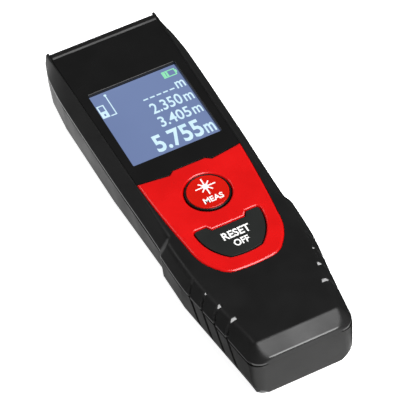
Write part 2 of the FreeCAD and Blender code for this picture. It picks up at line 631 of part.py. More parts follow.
def make_cells():
    """Two cells side by side, nose to tail."""
    cells = []
    for side, x, turned in (("left", "-D.cell_x", False), ("right", "D.cell_x", True)):
        can = ("D.cell_low", "D.cell_high")
        if turned:
            can = ("D.cell_low + D.nub_high - D.cell_high", "D.nub_high")
        nub = ("D.cell_low", can[0] + " + 0.1") if turned else ("D.cell_high - 0.1", "D.nub_high")
        cells.append(join(f"cell_{side}",
                          along(f"cell_can_{side}", "D.cell_radius", x, can, "D.cell_height"),
                          along(f"cell_nub_{side}", "D.nub_radius", x, nub, "D.cell_height")))
    return group("battery_cells", *cells)


def make_battery_holder():
    """Cradle over the cells: a ceiling, two sides and two ends."""
    whole = block("holder_block", ("-D.holder_half", "D.holder_half"), ("D.holder_low", "D.holder_high"),
                  ("D.holder_foot", "D.holder_top"))
    form = overlap("holder_form", whole, inner_limit)
    space = block("holder_space", ("-D.holder_inner", "D.holder_inner"),
                  ("D.holder_low + D.holder_end", "D.holder_high - D.holder_end"), ("-1", "D.holder_under"))
    heads = [upright(f"holder_head_{index}", "D.holder_hole", x, y,
                     ("D.holder_under - 1", "D.holder_top + 1"))
             for index, (x, y) in enumerate(board_screw_places()[2:])]
    posts = [upright(f"holder_post_{index}", "D.holder_notch", x, y, ("0", "D.holder_top + 1"))
             for index, (x, y) in enumerate(screw_places()[2:])]
    return trim("battery_holder", form, space, *heads, *posts)


def make_leaf(name, x, crown, centre, y):
    """Bowed strip of spring steel: part of a ring lying across the bay, with its crown at a cell."""
    rings = []
    for part, radius in (("outside", "D.leaf_radius"), ("inside", "D.leaf_radius - D.leaf_thick")):
        ring = turn(doc.addObject("Part::Cylinder", f"{name}_{part}"), (0, 1, 0), 90)
        bind(ring, Radius=radius, Height="D.leaf_width + 2")
        rings.append(place(ring, f"{x} - D.leaf_width / 2 - 1", f"{crown} {centre} D.leaf_radius",
                           "D.cell_height"))
    reach = block(f"{name}_reach", (f"{x} - D.leaf_width / 2", f"{x} + D.leaf_width / 2"), y,
                  ("D.cell_height - D.leaf_radius", "D.cell_height + D.leaf_radius"))
    return overlap(name, trim(f"{name}_ring", *rings), reach)


def make_springs():
    """One bowed leaf for each cell's flat end."""
    rear_crown = "D.cell_low - D.leaf_gap"
    front_crown = "D.nub_high + D.leaf_gap"
    rear = make_leaf("leaf_rear", "-D.cell_x", rear_crown, "-",
                     ("D.holder_low + D.holder_end + D.contact + D.leaf_gap / 2", rear_crown))
    front = make_leaf("leaf_front", "D.cell_x", front_crown, "+",
                      (front_crown, "D.holder_high - D.holder_end - D.contact - D.leaf_gap / 2"))
    return group("battery_springs", front, rear)


def make_contacts():
    """Spring-steel plates at both ends of the bay; the rear one bridges the two cells."""
    z = ("D.cell_height - D.contact_half", "D.cell_height + D.contact_half")
    rear = block("contact_rear", ("-D.cell_x - D.contact_half", "D.cell_x + D.contact_half"),
                 ("D.holder_low + D.holder_end", "D.holder_low + D.holder_end + D.contact"), z)
    front = [block(f"contact_front_{side}", (f"{x} - D.contact_half", f"{x} + D.contact_half"),
                   ("D.holder_high - D.holder_end - D.contact", "D.holder_high - D.holder_end"), z)
             for side, x in (("right", "D.cell_x"), ("left", "-D.cell_x"))]
    return group("battery_contacts", rear, *front)


# ---- optics --------------------------------------------------------------------------------

def make_optics_block():
    """Carrier with a barrel bore, a lens seat and a light tunnel to the sensor."""
    head = block("optics_head", ("-D.optics_half", "D.optics_half"), ("D.optics_low", "D.optics_high"),
                 ("D.optics_under", "D.optics_top"))
    tail_x = ("D.laser_x - D.barrel_radius - D.tunnel_wall", "D.lens_x + D.tunnel_radius + D.tunnel_wall")
    tail = block("optics_tail", tail_x, ("D.tunnel_low", "D.optics_low + 1"),
                 ("D.optics_under", "D.tail_top"))
    tunnel = turn(doc.addObject("Part::Cone", "light_tunnel"), (1, 0, 0), -90)
    bind(tunnel, Radius1="D.tunnel_end", Radius2="D.tunnel_radius", Height="D.lens_low - D.tunnel_low + 1")
    place(tunnel, "D.lens_x", "D.tunnel_low - 0.5", "D.tunnel_z")
    seat = along("lens_seat", "D.lens_radius", "D.lens_x", ("D.lens_low", "D.optics_high + 1"), "D.lens_z")
    bore = along("barrel_bore", "D.barrel_radius", "D.laser_x",
                 ("D.barrel_low - 2 * D.lead_long", "D.optics_high + 1"), "D.laser_z")
    solid = overlap("optics_solid", join("optics_body", head, tail), inner_limit)
    return trim("optics_block", solid, tunnel, seat, bore)


def make_laser_parts():
    """Brass barrel with the diode behind, the collimating lens in front, and the cap's window."""
    x, z = "D.laser_x", "D.laser_z"
    tube = along("barrel_tube", "D.barrel_radius - D.barrel_slack", x, ("D.barrel_low", "D.barrel_high"), z)
    bores = [
        along("barrel_light_bore", "D.barrel_light", x, ("D.barrel_low - 1", "D.barrel_high + 1"), z),
        along("barrel_lens_bore", "D.collimator_radius", x,
              ("D.barrel_high - D.collimator_seat", "D.barrel_high + 1"), z),
        along("barrel_diode_bore", "D.diode_base", x,
              ("D.barrel_low - 1", "D.barrel_low + D.diode_seat"), z),
    ]
    can = along("diode_cover", "D.diode_can", x, ("D.barrel_low + 0.5", "D.barrel_low + D.diode_front"), z)
    base = along("diode_plate", "D.diode_base", x, ("D.barrel_low", "D.barrel_low + D.diode_flange"), z)
    leads = [along(f"diode_lead_{index}", "D.lead_radius", f"{x} + {index - 1}",
                   ("D.barrel_low - D.lead_long", "D.barrel_low + 0.1"), z) for index in range(3)]
    seat = "D.barrel_high - D.collimator_seat"
    lens = along("collimator_lens", "D.collimator_radius", x, (seat, f"{seat} + D.collimator_thick"), z)
    window = along("laser_window", "D.laser_hole + D.cap_seat - D.cap_slack", x,
                   ("D.cap_back + 2 * D.cap_slack", "D.cap_back + D.cap_seat_deep - 2 * D.cap_slack"), z)
    return trim("laser_barrel", tube, *bores), join("laser_diode", can, base, *leads), lens, window


def make_receiver_lens():
    """Plano-convex lens: a flat disc shared with a sphere whose crown faces out."""
    disc = along("lens_disc", "D.lens_radius - D.barrel_slack", "D.lens_x", ("D.lens_low", "D.lens_high"),
                 "D.lens_z")
    ball = doc.addObject("Part::Sphere", "lens_sphere")
    bind(ball, Radius="D.lens_ball")
    place(ball, "D.lens_x", "D.lens_high - D.lens_ball", "D.lens_z")
    return overlap("receiver_lens", disc, ball)


def make_sensor_parts():
    """Light sensor at the end of the tunnel, on its own small board."""
    face = "D.tunnel_low - D.photodiode_long"
    board = block("sensor_board", ("D.lens_x - D.sensor_half", "D.lens_x + D.sensor_half"),
                  (f"{face} - D.sensor_thick", face), ("D.sensor_under", "D.sensor_top"))
    photodiode = along("photodiode", "D.photodiode_radius", "D.lens_x", (face, "D.tunnel_low"), "D.tunnel_z")
    return board, photodiode


# ---- fasteners -----------------------------------------------------------------------------

def screw(name, x, y, foot, tip, head_high, head_radius, radius):
    """Pan-head screw pointing up, with a cross recess in its head."""
    head = upright(f"{name}_head", head_radius, x, y, (foot, f"{foot} + {head_high}"))
    shank = upright(f"{name}_shank", radius, x, y, (f"{foot} + {head_high} - 0.1", tip))
    long, short = f"{head_radius} * D.cross_share", "D.cross_half"
    depth = (f"{foot} - 1", f"{foot} + D.cross_deep")
    slots = [block(f"{name}_slot_{index}", (f"{x} - {across}", f"{x} + {across}"),
                   (f"{y} - {along_y}", f"{y} + {along_y}"), depth)
             for index, (across, along_y) in enumerate(((long, short), (short, long)))]
    return trim(name, join(f"{name}_solid", head, shank), *slots)


def make_case_screws():
    """Two screws in front, and two that the battery door covers."""
    screws = []
    for index, (x, y) in enumerate(screw_places()):
        foot = "D.head_top - D.head_high" if index < 2 else "D.door_screw_foot"
        screws.append(screw(f"case_screw_{index}", x, y, foot, "D.screw_tip", "D.head_high",
                            "D.head_radius", "D.screw_radius"))
    return group("case_screws", *screws)


def make_board_screws():
    """Screws that hold the board to the upper shell."""
    screws = [screw(f"board_screw_{index}", x, y, "D.board_under - D.board_head_high", "D.board_screw_tip",
                    "D.board_head_high", "D.board_head", "D.board_screw")
              for index, (x, y) in enumerate(board_screw_places())]
    return group("board_screws", *screws)


# ---- assembly ------------------------------------------------------------------------------

def build():
    """Make every sub-part and give each the label that names its file."""
    panel, light, frame = make_display_parts()
    barrel, diode, collimator, laser_window = make_laser_parts()
    sensor_board, photodiode = make_sensor_parts()
    chip, shield, socket = make_hung_parts()
    return [
        make_upper_shell(), make_lower_shell(), make_battery_door(), make_front_cap(), make_display_bezel(),
        make_keypad_panel(), make_measure_button(), make_clear_button(),
        make_switch("measure_switch", "D.key_y"), make_switch("clear_switch", "D.clear_stem_y"),
        make_plunger("measure_plunger", "D.key_y"), make_plunger("clear_plunger", "D.clear_stem_y"),
        make_main_board(), chip, shield, socket, make_buzzer(),
        panel, light, frame, make_display_ribbon(),
        make_cells(), make_battery_holder(), make_springs(), make_contacts(),
        make_optics_block(), barrel, diode, collimator, laser_window, make_receiver_lens(),
        photodiode, sensor_board,
        make_case_screws(), make_board_screws(),
    ]


def check_and_write(parts):
    """Stop on any failed object, then write one file for each sub-part."""
    failed = [item.Name for item in doc.Objects if {"Invalid", "Error"} & set(item.State)]
    if failed:
        raise RuntimeError(f"failed objects: {failed}")
    os.makedirs("parts", exist_ok=True)
    for part in parts:
        shape = part.Shape
        if shape.isNull() or not shape.isValid() or not shape.Solids:
            raise RuntimeError(f"{part.Label} has no valid solid")
        shape.exportStep(f"parts/{part.Label}.step")
        print(f"{part.Label}: {len(shape.Solids)} solid(s), {shape.Volume:.1f} mm3")


parts = build()
doc.recompute()
check_and_write(parts)
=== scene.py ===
# %% [markdown]
# # A laser distance meter
#
# A pocket laser distance meter is a moulded black casing with a small colour screen, a glossy red
# keypad plate and two keys.  Its inside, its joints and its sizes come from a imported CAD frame.
# This lesson dresses that frame: it adds the soft shapes and the finishes that a camera sees.

# %% Load the frame
import math

import bmesh
import bpy
import numpy as np
from mathutils import Matrix, Vector
from mathutils.geometry import tessellate_polygon


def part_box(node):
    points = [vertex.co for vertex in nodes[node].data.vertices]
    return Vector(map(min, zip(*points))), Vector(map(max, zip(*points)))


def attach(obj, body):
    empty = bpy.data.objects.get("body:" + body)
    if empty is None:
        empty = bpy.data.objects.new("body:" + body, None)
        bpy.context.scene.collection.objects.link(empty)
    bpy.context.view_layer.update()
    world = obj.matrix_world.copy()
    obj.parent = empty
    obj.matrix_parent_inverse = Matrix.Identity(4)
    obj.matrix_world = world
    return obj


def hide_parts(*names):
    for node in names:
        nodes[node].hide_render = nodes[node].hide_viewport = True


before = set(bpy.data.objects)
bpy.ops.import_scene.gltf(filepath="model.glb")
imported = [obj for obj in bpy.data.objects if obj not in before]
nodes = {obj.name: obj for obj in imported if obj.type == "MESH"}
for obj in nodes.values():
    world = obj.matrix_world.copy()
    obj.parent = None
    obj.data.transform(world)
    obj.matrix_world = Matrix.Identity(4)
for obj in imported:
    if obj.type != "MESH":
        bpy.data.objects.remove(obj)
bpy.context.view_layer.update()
MM = 0.001

# %% [markdown]
# ## Camera
#
# The meter lies on its back and is seen from behind its heel, from the left and from well above.
# A long lens keeps its sides nearly parallel.  The camera could be aimed with a constraint, but a
# place and three angles are plainer: azimuth and elevation turn it round the meter, and a small
# roll leans the picture.

# %% Camera
AZIMUTH, ELEVATION, ROLL = math.radians(-22.99), math.radians(49.77), math.radians(-4.67)
LENS, SENSOR = 225, 36
EYE = np.array([-168.03, -396.71, 521.64]) * MM


def look(azimuth, elevation, roll):
    """Rotation as three axes: forward from the two angles, then right and up turned by the roll."""
    level = math.cos(elevation)
    forward = np.array([-math.sin(azimuth) * level, math.cos(azimuth) * level, -math.sin(elevation)])
    right = np.cross(forward, (0, 0, 1))
    right /= np.linalg.norm(right)
    up = np.cross(right, forward)
    turned_right = right * math.cos(roll) + up * math.sin(roll)
    turned_up = up * math.cos(roll) - right * math.sin(roll)
    return turned_right, turned_up, -forward


camera_data = bpy.data.cameras.new("camera")
camera_data.lens, camera_data.sensor_width = LENS, SENSOR
camera = bpy.data.objects.new("camera", camera_data)
bpy.context.scene.collection.objects.link(camera)
world = np.eye(4)
world[:3, :3] = np.array(look(AZIMUTH, ELEVATION, ROLL)).T
world[:3, 3] = EYE
camera.matrix_world = Matrix(world.tolist())
bpy.context.scene.camera = camera
print("camera at", EYE.round(3).tolist())

# %% [markdown]
# ## Shader maths
#
# A finish is a small sum: noise times a depth, added to a roughness.  Nodes can be wired by hand,
# one line each, but then the sum is hard to read.  `Wire` stands for one socket and overloads plus
# and times, so that the sum is written as a sum.  `Finish` is one material; its `node` method makes
# every kind of node.

# %% Wire and Finish
class Wire:
    """One output socket; arithmetic on it adds Math nodes to its material."""

    def __init__(self, finish, socket):
        self.finish, self.socket = finish, socket

    def math(self, operation, first, second):
        return self.finish.node("ShaderNodeMath", {"operation": operation}, {0: first, 1: second})

    def __add__(self, other):
        return self.math("ADD", self, other)

    def __mul__(self, other):
        return self.math("MULTIPLY", self, other)


class Finish:
    """A material with one Principled shader, whose constants are set straight on its sockets."""

    def __init__(self, name, **constants):
        self.material = bpy.data.materials.new(name)
        self.material.use_nodes = True
        self.tree = self.material.node_tree
        self.shader = self.tree.nodes["Principled BSDF"]
        for socket, value in constants.items():
            self.shader.inputs[socket.replace("_", " ")].default_value = value

    def node(self, kind, settings=None, sockets=None, output=0):
        """Make a node: settings are its properties, sockets its values or wires."""
        node = self.tree.nodes.new(kind)
        for key, value in (settings or {}).items():
            setattr(node, key, value)
        for key, value in (sockets or {}).items():
            if isinstance(value, Wire):
                self.tree.links.new(value.socket, node.inputs[key])
            else:
                node.inputs[key].default_value = value
        return Wire(self, node.outputs[output])

    def feed(self, socket, wire):
        self.tree.links.new(wire.socket, self.shader.inputs[socket])

    def place(self):
        """The piece's own coordinates, in metres."""
        return self.node("ShaderNodeTexCoord", output="Object")

    def noise(self, per_mm, detail=2.0, roughness=0.5, stretch=None):
        """Noise with so many cells to a millimetre; stretch scales the three axes."""
        where = self.place()
        if stretch:
            where = self.node("ShaderNodeMapping", None, {"Vector": where, "Scale": stretch})
        return self.node("ShaderNodeTexNoise", None,
                         {"Vector": where, "Scale": per_mm / MM, "Detail": detail, "Roughness": roughness})

    def spread(self, wire, low, high, to_low, to_high):
        """Stretch a value from one range to another, and hold it there."""
        return self.node("ShaderNodeMapRange", None, {"Value": wire, "From Min": low, "From Max": high,
                                                      "To Min": to_low, "To Max": to_high})

    def blend(self, amount, first, second):
        """Mix two colours."""
        return self.node("ShaderNodeMix", {"data_type": "RGBA"}, {0: amount, 6: first, 7: second}, output=2)

    def relief(self, height, depth_mm, edge_mm=0.0):
        """Bump from a height between 0 and 1, over edges that may first be rounded."""
        sockets = {"Height": height, "Distance": depth_mm * MM, "Strength": 1.0}
        if edge_mm:
            sockets["Normal"] = self.node("ShaderNodeBevel", {"samples": 6}, {"Radius": edge_mm * MM})
        self.feed("Normal", self.node("ShaderNodeBump", None, sockets))


def shade(*tones):
    """Linear colour with alpha from three 0 to 255 screen tones."""
    part = np.array(tones) / 255
    return tuple(np.where(part > 0.04045, ((part + 0.055) / 1.055) ** 2.4, part / 12.92)) + (1.0,)


print("red", [round(v, 3) for v in shade(232, 20, 18)])

# %% [markdown]
# ## Finishes
#
# Moulded plastic is never one flat colour: spark erosion leaves a fine grain in the mould, handling
# polishes it in patches, and the edges catch light.  A painted picture could carry all that, but
# noise in the piece's own coordinates has no seams and holds at any distance.

# %% Moulded plastic
def moulded(name, colour, roughness, grain_per_mm, grain_mm, edge_mm=0.0, polish=0.06, specular=0.3,
            rubbed=None):
    """Plastic with a mould grain, patches where hands have polished it, and rounded edges.

    Where the point value named by rubbed is 1, the plastic shines as if it were coated.
    """
    finish = Finish(name, IOR=1.46, Specular_IOR_Level=specular, Coat_Roughness=0.12)
    if rubbed:
        finish.feed("Coat Weight", finish.node("ShaderNodeAttribute", {"attribute_name": rubbed}, output=2))
    patches = finish.noise(0.12, 3.0, 0.5)
    tone = finish.spread(patches, 0.3, 0.7, 0.0, 1.0)
    worn = tuple(part * 1.15 for part in colour[:3]) + (1.0,)
    finish.feed("Base Color", finish.blend(tone, colour, worn))
    finish.feed("Roughness", finish.spread(patches, 0.3, 0.7, roughness - polish, roughness + polish))
    finish.relief(finish.noise(grain_per_mm, 2.0, 0.6), grain_mm, edge_mm)
    return finish.material


casing_black = moulded("casing_black", shade(17, 17, 17), 0.40, 5.0, 0.008, rubbed="polished")
lower_black = moulded("lower_black", shade(19, 19, 18), 0.42, 5.0, 0.010, edge_mm=0.12)
cap_black = moulded("cap_black", shade(20, 20, 20), 0.36, 5.0, 0.006, edge_mm=0.12)
bezel_black = moulded("bezel_black", shade(16, 16, 16), 0.24, 1.2, 0.002)
panel_red = moulded("panel_red", shade(196, 3, 3), 0.26, 1.0, 0.002, specular=0.6)
key_red = moulded("key_red", shade(186, 14, 2), 0.34, 3.0, 0.005)
key_grey = moulded("key_grey", shade(26, 28, 27), 0.55, 6.0, 0.008, specular=0.25)
collar_black = moulded("collar_black", shade(16, 18, 16), 0.35, 4.0, 0.005)
inner_black = moulded("inner_black", shade(40, 40, 42), 0.5, 4.0, 0.010, edge_mm=0.12)
inner_white = moulded("inner_white", shade(205, 200, 186), 0.45, 4.0, 0.010, edge_mm=0.12)
light_guide = moulded("light_guide", shade(225, 230, 235), 0.2, 1.0, 0.002)
print("plastics:", len(bpy.data.materials))

# %% [markdown]
# Metal parts inside the meter are bright and brushed; the board is green lacquer over copper.

# %% Metals, glass and the board
def bright_metal(name, colour, roughness, stretch):
    """Metal with fine drawn lines along the axis that has the smallest stretch."""
    finish = Finish(name, Metallic=1.0, Base_Color=colour)
    lines = finish.noise(3.0, 3.0, 0.6, stretch)
    finish.feed("Roughness", finish.spread(lines, 0.3, 0.7, roughness - 0.08, roughness + 0.10))
    finish.relief(lines, 0.004, 0.05)
    return finish.material


def lacquered_board(name):
    """Green solder mask: faint tracks in two directions show through as a lighter green."""
    finish = Finish(name, Roughness=0.3)
    across = finish.noise(0.9, 0.0, 0.5, (1.0, 0.05, 1.0))
    down = finish.noise(0.9, 0.0, 0.5, (0.05, 1.0, 1.0))
    tracks = (finish.spread(across, 0.55, 0.57, 0.0, 1.0) + finish.spread(down, 0.58, 0.60, 0.0, 1.0)) * 0.5
    finish.feed("Base Color", finish.blend(tracks, (0.006, 0.07, 0.025, 1.0), (0.02, 0.16, 0.06, 1.0)))
    finish.relief(tracks, 0.02)
    return finish.material


def coated_glass(name):
    """Clear optics with a faint coating that wanders between blue and purple."""
    finish = Finish(name, IOR=1.52, Transmission_Weight=1.0, Roughness=0.02)
    smear = finish.noise(0.4, 2.0, 0.5)
    finish.feed("Base Color", finish.blend(smear, (0.75, 0.82, 0.95, 1.0), (0.9, 0.85, 0.98, 1.0)))
    return finish.material


steel = bright_metal("bright_steel", (0.62, 0.62, 0.63, 1.0), 0.28, (1.0, 0.08, 1.0))
dark_steel = bright_metal("dark_steel", (0.30, 0.30, 0.31, 1.0), 0.35, (1.0, 1.0, 0.1))
brass = bright_metal("turned_brass", (0.80, 0.58, 0.25, 1.0), 0.25, (1.0, 0.06, 1.0))
amber_film = moulded("amber_film", (0.45, 0.20, 0.03, 1.0), 0.3, 1.0, 0.004, edge_mm=0.05)
cell_sleeve = moulded("cell_sleeve", (0.02, 0.07, 0.05, 1.0), 0.3, 0.8, 0.006, edge_mm=0.12)
board_green = lacquered_board("board_green")
glass = coated_glass("coated_glass")
print("materials so far:", len(bpy.data.materials))

# %% [markdown]
# The screen is lit from behind: a blue-grey field, slightly uneven, under a cover with a very faint
# ripple.  The characters glow by themselves, so no lamp can wash them out.

# %% Screen finishes
def lit_screen(name):
    """Backlit liquid crystal: a glow that wanders slowly, under a faintly rippled cover."""
    finish = Finish(name, Base_Color=(0.02, 0.025, 0.04, 1.0), Roughness=0.12, Emission_Strength=1.0)
    glow = finish.noise(0.035, 2.0, 0.5)
    finish.feed("Emission Color", finish.blend(glow, shade(96, 113, 156), shade(112, 130, 172)))
    finish.relief(finish.noise(1.0, 1.0, 0.5), 0.002)
    return finish.material


def lit_ink(name, colour, dim):
    """Bright characters on the screen, very slightly uneven."""
    finish = Finish(name, Base_Color=(0.05, 0.06, 0.07, 1.0), Roughness=0.3, Emission_Strength=1.0)
    finish.feed("Emission Color", finish.blend(finish.noise(0.6, 1.0, 0.5), dim, colour))
    return finish.material


screen_blue = lit_screen("screen_blue")
ink_white = lit_ink("ink_white", shade(222, 246, 255), shade(188, 226, 240))
ink_green = lit_ink("ink_green", shade(150, 240, 180), shade(120, 220, 160))
label_white = moulded("label_white", shade(232, 232, 230), 0.5, 2.0, 0.004)
print("screen finishes ready")

# %% [markdown]
# ## Give each carried-over CAD piece its finish

# %% Dress the CAD pieces
DRESS = {
    lower_black: ["lower_shell", "battery_door"], cap_black: ["front_cap"],
    casing_black: ["upper_shell"], bezel_black: ["display_bezel"], panel_red: ["keypad_panel"],
    key_red: ["measure_button"], key_grey: ["clear_button"],
    inner_black: ["display_frame", "battery_holder", "optics_block", "measure_switch", "clear_switch",
                  "buzzer", "processor_chip"],
    inner_white: ["measure_plunger", "clear_plunger", "ribbon_socket"], light_guide: ["backlight"],
    steel: ["board_shield", "battery_springs", "battery_contacts", "laser_diode", "photodiode"],
    dark_steel: ["case_screws", "board_screws"], brass: ["laser_barrel"], amber_film: ["display_ribbon"],
    cell_sleeve: ["battery_cells"], board_green: ["main_board", "sensor_board"],
    glass: ["collimator_lens", "laser_window", "receiver_lens"], screen_blue: ["lcd_panel"],
}
for material, names in DRESS.items():
    for name in names:
        nodes[name].data.materials.clear()
        nodes[name].data.materials.append(material)
print("dressed", sum(map(len, DRESS.values())), "of", len(nodes))

# %% [markdown]
# ## Meshes from arrays
#
# New pieces are grids of points worked out as whole arrays.  A grid needs only its faces and its
# merged seams.  An outline with holes becomes a plate: rings of points round off its edges, and
# Blender's tessellator fills its two faces.

# %% Mesh helpers
SHARP = math.radians(32)


def finish_piece(name, mesh, material, body, slot, *hidden):
    """Put a mesh in the scene, with its finish, its body and the CAD nodes it stands for; slot is not used.
    """
    mesh.materials.clear()
    mesh.materials.append(material)
    mesh.shade_smooth()
    mesh.set_sharp_from_angle(angle=SHARP)
    piece = bpy.data.objects.new(name, mesh)
    bpy.context.scene.collection.objects.link(piece)
    piece.modifiers.new("even_shading", "WEIGHTED_NORMAL").keep_sharp = True
    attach(piece, body)
    if hidden:
        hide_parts(*hidden)
    print(f"{name}: {len(mesh.polygons)} faces on {body}")


def grid_faces(rows, columns, ring=False):
    """Four-sided faces of a grid stored row by row; ring joins the last column to the first."""
    across = columns if ring else columns - 1
    row, column = np.meshgrid(np.arange(rows - 1), np.arange(across), indexing="ij")
    following = (column + 1) % columns
    corners = [row * columns + column, (row + 1) * columns + column, (row + 1) * columns + following,
               row * columns + following]
    return np.stack([c.ravel() for c in corners], axis=1)


def merged_mesh(name, points, faces, caps=()):
    """Mesh from points in millimetres: doubles merged, flat faces dropped, normals turned outwards."""
    mesh = bpy.data.meshes.new(name)
    mesh.from_pydata((points * MM).tolist(), [], faces.tolist() + [list(cap) for cap in caps])
    work = bmesh.new()
    work.from_mesh(mesh)
    bmesh.ops.remove_doubles(work, verts=work.verts, dist=0.0008 * MM)
    bmesh.ops.dissolve_degenerate(work, edges=work.edges, dist=0.0004 * MM)
    bmesh.ops.recalc_face_normals(work, faces=work.faces)
    work.to_mesh(mesh)
    work.free()
    return mesh


def revolve(name, profile, centre, steps=128):
    """Surface of revolution: each (radius, height) of the profile is carried round an upright axis."""
    radius, height = np.array(profile, float).T
    angle = np.linspace(0, 2 * np.pi, steps, endpoint=False)
    x = centre[0] + radius[:, None] * np.cos(angle)
    y = centre[1] + radius[:, None] * np.sin(angle)
    z = np.broadcast_to(height[:, None], x.shape)
    points = np.stack([x, y, z], axis=-1).reshape(-1, 3)
    return merged_mesh(name, points, grid_faces(len(radius), steps, ring=True))


def quarter(centre, radius, start, steps=6):
    """Points of a quarter circle in (radius, height), turning clockwise from a start angle in degrees."""
    angle = np.radians(start - np.linspace(0, 90, steps + 1))
    return [(centre[0] + radius * math.cos(a), centre[1] + radius * math.sin(a)) for a in angle]


def bulge(first, last, radius, steps=24):
    """Arc from one point to another, bulging to the right of the way it goes; its last point is left out."""
    first, last = np.array(first, float), np.array(last, float)
    way = last - first
    length = np.hypot(*way)
    right = np.array([way[1], -way[0]]) / length
    centre = (first + last) / 2 - right * math.sqrt(radius ** 2 - length ** 2 / 4)
    begin = math.atan2(*(first - centre)[::-1])
    sweep = 2 * math.asin(length / 2 / radius)
    angle = begin + sweep * np.arange(steps) / steps
    return centre + radius * np.stack([np.cos(angle), np.sin(angle)], axis=1)


def outline(corners):
    """Closed outline from (x, y, radius of the arc to the next corner, or None for a straight edge)."""
    parts = []
    for here, after in zip(corners, corners[1:] + corners[:1]):
        parts.append(np.array([here[:2]], float) if here[2] is None else bulge(here[:2], after[:2], here[2]))
    return np.concatenate(parts)


def shrink(loop, by):
    """Move each point of an anticlockwise loop inwards by a distance, along its two edges' normals."""
    after, before = np.roll(loop, -1, axis=0) - loop, loop - np.roll(loop, 1, axis=0)
    normal = sum(np.stack([-d[:, 1], d[:, 0]], axis=1) / np.hypot(*d.T)[:, None] for d in (after, before))
    normal /= np.hypot(*normal.T)[:, None]
    edge = np.stack([-after[:, 1], after[:, 0]], axis=1) / np.hypot(*after.T)[:, None]
    return loop + normal * by / np.maximum((normal * edge).sum(axis=1), 0.3)[:, None]


def plate(name, loops, low, high, edges=0, drop=None):
    """Flat plate with holes: the first loop is its rim, the others, clockwise, its holes.

    Upper edges follow a quarter of an ellipse, as wide as the edge and as deep as the drop:
    inset = edge (1 - sin t), height = high - drop (1 - cos t).
    """
    turn = np.radians(np.linspace(0, 90, 8)) if np.any(edges) else np.zeros(1)
    across, down = 1 - np.sin(turn), 1 - np.cos(turn)
    points, faces, start = [], [], []
    for loop, edge in zip(loops, np.broadcast_to(edges, len(loops))):
        first = sum(map(len, points))
        start.append(first + np.arange(len(loop)))
        depth = edge if drop is None else drop
        rings = [(edge * a, high - depth * d) for a, d in zip(across, down)] + [(0, low)]
        points += [np.column_stack([shrink(loop, inset), np.full(len(loop), height)])
                   for inset, height in rings]
        faces.append(grid_faces(len(rings), len(loop), ring=True) + first)
    points, ends = np.concatenate(points), np.concatenate(start)
    lids = np.array(tessellate_polygon([[Vector((x, y, 0)) for x, y in points[ring, :2]] for ring in start]))
    below = np.concatenate([ring + len(turn) * len(ring) for ring in start])
    caps = [*ends[lids].tolist(), *below[lids][:, ::-1].tolist()]
    return merged_mesh(name, points, np.concatenate(faces), caps)


def circle(centre, radius, steps=128):
    """Circle, anticlockwise, as so many points."""
    angle = np.linspace(0, 2 * np.pi, steps, endpoint=False)
    return np.stack([centre[0] + radius * np.cos(angle), centre[1] + radius * np.sin(angle)], axis=1)


def rectangle(x0, y0, x1, y1, corner=0.0):
    """Rectangle, anticlockwise, with its corners rounded."""
    if not corner:
        return np.array([(x0, y0), (x1, y0), (x1, y1), (x0, y1)], float)
    turn = np.radians(np.linspace(0, 90, 7))
    arcs = []
    for x, y, start in ((x1 - corner, y0 + corner, -90), (x1 - corner, y1 - corner, 0),
                        (x0 + corner, y1 - corner, 90), (x0 + corner, y0 + corner, 180)):
        angle = turn + math.radians(start)
        arcs.append(np.stack([x + corner * np.cos(angle), y + corner * np.sin(angle)], axis=1))
    return np.concatenate(arcs)


print("helpers ready")

# %% [markdown]
# ## The upper casing
#
# On the real meter the upper casing is one moulding: a flat top, bevels down to the seam, a waist
# with a ramp where the grip begins, four leaning grooves on each side, and a sloping heel.  The CAD
# has the same form in straight facets.  Here it becomes one surface: a closed section, carried from
# nose to heel, whose few measures glide smoothly between stations.

# %% Stations of the casing
# position along Y, half-width of the flat top, half-width at the seam
STATIONS = np.array([
    (-60.3, 11.7, 14.5), (-56.1, 12.0, 15.05), (-43.0, 14.5, 16.8), (-27.5, 16.5, 18.9), (-17.0, 16.9, 19.2),
    (-14.4, 15.5, 18.4), (14.0, 15.8, 19.1), (44.0, 16.3, 19.5), (54.0, 16.6, 18.9), (60.3, 16.7, 17.3),
])
NOSE, HEEL, CREST, TOP, PARTING, LIP = 60.3, -60.3, -56.1, 22.0, 17.2, 1.0
HEEL_DROP, HEEL_RADIUS, PLATE, SKIN_UNDER, SHADOW = 2.9, 3.5, 1.0, 19.8, 17.62


def glide(y, values):
    """Monotone cubic through the stations: each slope is the harmonic mean of its two neighbours."""
    at = STATIONS[:, 0]
    step, rise = np.diff(at), np.diff(values)
    secant = rise / step
    same = secant[:-1] * secant[1:] > 0
    mean = np.where(same, 2 * secant[:-1] * secant[1:] / np.where(same, secant[:-1] + secant[1:], 1), 0)
    slope = np.concatenate([[secant[0]], mean, [secant[-1]]])
    i = np.clip(np.searchsorted(at, y) - 1, 0, len(at) - 2)
    t = (y - at[i]) / step[i]
    return (values[i] * (1 + 2 * t) * (1 - t) ** 2 + slope[i] * step[i] * t * (1 - t) ** 2
            + values[i + 1] * t ** 2 * (3 - 2 * t) + slope[i + 1] * step[i] * t ** 2 * (t - 1))


def top_height(y):
    """Flat, then a slope down to the heel, with a short parabola between them."""
    soft = 0.5
    past = CREST - y
    ramp = np.where(past < -soft, 0, np.where(past > soft, past, (past + soft) ** 2 / (4 * soft)))
    return TOP - ramp * HEEL_DROP / (CREST - HEEL)


def corner_share(y, seam):
    """How much the section narrows to round the heel's upright corners, as a share of its width."""
    into = np.clip(HEEL + HEEL_RADIUS - y, 0, HEEL_RADIUS)
    return 1 - (HEEL_RADIUS - np.sqrt(HEEL_RADIUS ** 2 - into ** 2)) / seam


print("width at the seam:", glide(np.array([44.0, -14.4, -17.0]), STATIONS[:, 2]) * 2)

# %% [markdown]
# The plates sit in a shallow recess.  Their outlines are straight edges and arcs, the same as in
# the CAD, so that both agree to a hair.

